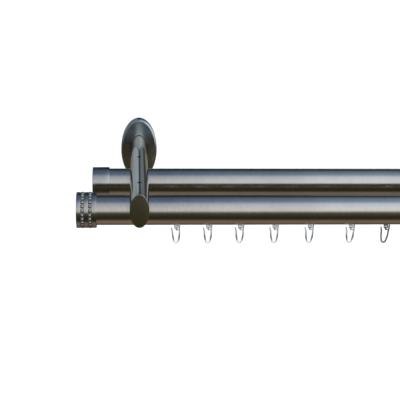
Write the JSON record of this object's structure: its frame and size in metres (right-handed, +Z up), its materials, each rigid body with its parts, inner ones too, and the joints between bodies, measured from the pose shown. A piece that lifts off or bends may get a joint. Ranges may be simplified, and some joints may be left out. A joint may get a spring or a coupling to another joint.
{
  "type": "double curtain pole",
  "caption": "Wall-mounted double curtain pole: two parallel round slotted rods on oval bracket arms, with end caps, sliding gliders and curtain hooks.",
  "frame": {"origin": "in the wall plane, midway between the two brackets, at the height of the bracket arms' axis: the centre of the four wall screw holes", "axes": "+X along the rods to the right as seen from the room, +Y into the wall, +Z up"},
  "size_m": [0.8216, 0.154, 0.0553],
  "materials": {
    "rod_steel": "satin, brushed lengthwise",
    "cap_steel": "satin, turned",
    "bracket_steel": "satin",
    "plate_steel": "zinc plated",
    "screw_steel": "dark oiled",
    "plug_plastic": "moulded",
    "clear_plastic": "clear, moulded",
    "smoke_plastic": "smoke grey, moulded"
  },
  "bodies": {
    "pole": {"front_rod": "rod_steel", "rear_rod": "rod_steel", "front_cap_left": "cap_steel", "front_plug_left": "plug_plastic", "front_cap_right": "cap_steel", "front_plug_right": "plug_plastic", "rear_cap_left": "cap_steel", "rear_plug_left": "plug_plastic", "rear_cap_right": "cap_steel", "rear_plug_right": "plug_plastic", "wall_plate_left": "plate_steel", "rosette_left": "bracket_steel", "arm_left": "bracket_steel", "arm_screw_left": "screw_steel", "front_rod_screw_left": "screw_steel", "rear_rod_screw_left": "screw_steel", "wall_plate_right": "plate_steel", "rosette_right": "bracket_steel", "arm_right": "bracket_steel", "arm_screw_right": "screw_steel", "front_rod_screw_right": "screw_steel", "rear_rod_screw_right": "screw_steel"},
    "front_glider_1": {"front_glider_1": "clear_plastic"},
    "front_hook_1": {"front_hook_1": "clear_plastic"},
    "front_glider_2": {"front_glider_2": "clear_plastic"},
    "front_hook_2": {"front_hook_2": "clear_plastic"},
    "front_glider_3": {"front_glider_3": "clear_plastic"},
    "front_hook_3": {"front_hook_3": "clear_plastic"},
    "front_glider_4": {"front_glider_4": "clear_plastic"},
    "front_hook_4": {"front_hook_4": "clear_plastic"},
    "front_glider_5": {"front_glider_5": "clear_plastic"},
    "front_hook_5": {"front_hook_5": "clear_plastic"},
    "front_glider_6": {"front_glider_6": "clear_plastic"},
    "front_hook_6": {"front_hook_6": "clear_plastic"},
    "front_glider_7": {"front_glider_7": "smoke_plastic"},
    "front_hook_7": {"front_hook_7": "smoke_plastic"},
    "front_glider_8": {"front_glider_8": "clear_plastic"},
    "front_hook_8": {"front_hook_8": "clear_plastic"},
    "rear_glider_1": {"rear_glider_1": "clear_plastic"},
    "rear_hook_1": {"rear_hook_1": "clear_plastic"},
    "rear_glider_2": {"rear_glider_2": "clear_plastic"},
    "rear_hook_2": {"rear_hook_2": "clear_plastic"},
    "rear_glider_3": {"rear_glider_3": "clear_plastic"},
    "rear_hook_3": {"rear_hook_3": "clear_plastic"},
    "rear_glider_4": {"rear_glider_4": "clear_plastic"},
    "rear_hook_4": {"rear_hook_4": "clear_plastic"},
    "rear_glider_5": {"rear_glider_5": "clear_plastic"},
    "rear_hook_5": {"rear_hook_5": "clear_plastic"},
    "rear_glider_6": {"rear_glider_6": "clear_plastic"},
    "rear_hook_6": {"rear_hook_6": "clear_plastic"},
    "rear_glider_7": {"rear_glider_7": "clear_plastic"},
    "rear_hook_7": {"rear_hook_7": "clear_plastic"},
    "rear_glider_8": {"rear_glider_8": "clear_plastic"},
    "rear_hook_8": {"rear_hook_8": "clear_plastic"}
  },
  "joints": [
    {"name": "front_glider_1_slide", "type": "slide", "parent": "pole", "child": "front_glider_1", "axis": [1, 0, 0], "range_m": [-0.0486, 0.0129]},
    {"name": "front_hook_1_swing", "type": "hinge", "parent": "front_glider_1", "child": "front_hook_1", "pos_m": [-0.3445, -0.1277, -0.02075], "axis": [1, 0, 0], "range_deg": [-60, 60]},
    {"name": "front_glider_2_slide", "type": "slide", "parent": "pole", "child": "front_glider_2", "axis": [1, 0, 0], "range_m": [-0.0129, 0.0129]},
    {"name": "front_hook_2_swing", "type": "hinge", "parent": "front_glider_2", "child": "front_hook_2", "pos_m": [-0.323, -0.1277, -0.02075], "axis": [1, 0, 0], "range_deg": [-60, 60]},
    {"name": "front_glider_3_slide", "type": "slide", "parent": "pole", "child": "front_glider_3", "axis": [1, 0, 0], "range_m": [-0.0129, 0.0147]},
    {"name": "front_hook_3_swing", "type": "hinge", "parent": "front_glider_3", "child": "front_hook_3", "pos_m": [-0.3015, -0.1277, -0.02075], "axis": [1, 0, 0], "range_deg": [-60, 60]},
    {"name": "front_glider_4_slide", "type": "slide", "parent": "pole", "child": "front_glider_4", "axis": [1, 0, 0], "range_m": [-0.0147, 0.0153]},
    {"name": "front_hook_4_swing", "type": "hinge", "parent": "front_glider_4", "child": "front_hook_4", "pos_m": [-0.2782, -0.1277, -0.02075], "axis": [1, 0, 0], "range_deg": [-60, 60]},
    {"name": "front_glider_5_slide", "type": "slide", "parent": "pole", "child": "front_glider_5", "axis": [1, 0, 0], "range_m": [-0.0153, 0.0192]},
    {"name": "front_hook_5_swing", "type": "hinge", "parent": "front_glider_5", "child": "front_hook_5", "pos_m": [-0.2543, -0.1277, -0.02075], "axis": [1, 0, 0], "range_deg": [-60, 60]},
    {"name": "front_glider_6_slide", "type": "slide", "parent": "pole", "child": "front_glider_6", "axis": [1, 0, 0], "range_m": [-0.0192, 0.0152]},
    {"name": "front_hook_6_swing", "type": "hinge", "parent": "front_glider_6", "child": "front_hook_6", "pos_m": [-0.2265, -0.1277, -0.02075], "axis": [1, 0, 0], "range_deg": [-60, 60]},
    {"name": "front_glider_7_slide", "type": "slide", "parent": "pole", "child": "front_glider_7", "axis": [1, 0, 0], "range_m": [-0.0152, 0.0155]},
    {"name": "front_hook_7_swing", "type": "hinge", "parent": "front_glider_7", "child": "front_hook_7", "pos_m": [-0.2027, -0.1277, -0.02075], "axis": [1, 0, 0], "range_deg": [-60, 60]},
    {"name": "front_glider_8_slide", "type": "slide", "parent": "pole", "child": "front_glider_8", "axis": [1, 0, 0], "range_m": [-0.0155, 0.5726]},
    {"name": "front_hook_8_swing", "type": "hinge", "parent": "front_glider_8", "child": "front_hook_8", "pos_m": [-0.1786, -0.1277, -0.02075], "axis": [1, 0, 0], "range_deg": [-60, 60]},
    {"name": "rear_glider_1_slide", "type": "slide", "parent": "pole", "child": "rear_glider_1", "axis": [1, 0, 0], "range_m": [-0.03965, 0.0149]},
    {"name": "rear_hook_1_swing", "type": "hinge", "parent": "rear_glider_1", "child": "rear_hook_1", "pos_m": [-0.3461, -0.0657, -0.02075], "axis": [1, 0, 0], "range_deg": [-60, 60]},
    {"name": "rear_glider_2_slide", "type": "slide", "parent": "pole", "child": "rear_glider_2", "axis": [1, 0, 0], "range_m": [-0.0149, 0.0149]},
    {"name": "rear_hook_2_swing", "type": "hinge", "parent": "rear_glider_2", "child": "rear_hook_2", "pos_m": [-0.3226, -0.0657, -0.02075], "axis": [1, 0, 0], "range_deg": [-60, 60]},
    {"name": "rear_glider_3_slide", "type": "slide", "parent": "pole", "child": "rear_glider_3", "axis": [1, 0, 0], "range_m": [-0.0149, 0.0134]},
    {"name": "rear_hook_3_swing", "type": "hinge", "parent": "rear_glider_3", "child": "rear_hook_3", "pos_m": [-0.2991, -0.0657, -0.02075], "axis": [1, 0, 0], "range_deg": [-60, 60]},
    {"name": "rear_glider_4_slide", "type": "slide", "parent": "pole", "child": "rear_glider_4", "axis": [1, 0, 0], "range_m": [-0.0134, 0.0159]},
    {"name": "rear_hook_4_swing", "type": "hinge", "parent": "rear_glider_4", "child": "rear_hook_4", "pos_m": [-0.2771, -0.0657, -0.02075], "axis": [1, 0, 0], "range_deg": [-60, 60]},
    {"name": "rear_glider_5_slide", "type": "slide", "parent": "pole", "child": "rear_glider_5", "axis": [1, 0, 0], "range_m": [-0.0159, 0.0139]},
    {"name": "rear_hook_5_swing", "type": "hinge", "parent": "rear_glider_5", "child": "rear_hook_5", "pos_m": [-0.2526, -0.0657, -0.02075], "axis": [1, 0, 0], "range_deg": [-60, 60]},
    {"name": "rear_glider_6_slide", "type": "slide", "parent": "pole", "child": "rear_glider_6", "axis": [1, 0, 0], "range_m": [-0.0139, 0.0154]},
    {"name": "rear_hook_6_swing", "type": "hinge", "parent": "rear_glider_6", "child": "rear_hook_6", "pos_m": [-0.2301, -0.0657, -0.02075], "axis": [1, 0, 0], "range_deg": [-60, 60]},
    {"name": "rear_glider_7_slide", "type": "slide", "parent": "pole", "child": "rear_glider_7", "axis": [1, 0, 0], "range_m": [-0.0154, 0.0164]},
    {"name": "rear_hook_7_swing", "type": "hinge", "parent": "rear_glider_7", "child": "rear_hook_7", "pos_m": [-0.2061, -0.0657, -0.02075], "axis": [1, 0, 0], "range_deg": [-60, 60]},
    {"name": "rear_glider_8_slide", "type": "slide", "parent": "pole", "child": "rear_glider_8", "axis": [1, 0, 0], "range_m": [-0.0164, 0.56775]},
    {"name": "rear_hook_8_swing", "type": "hinge", "parent": "rear_glider_8", "child": "rear_hook_8", "pos_m": [-0.1811, -0.0657, -0.02075], "axis": [1, 0, 0], "range_deg": [-60, 60]}
  ]
}
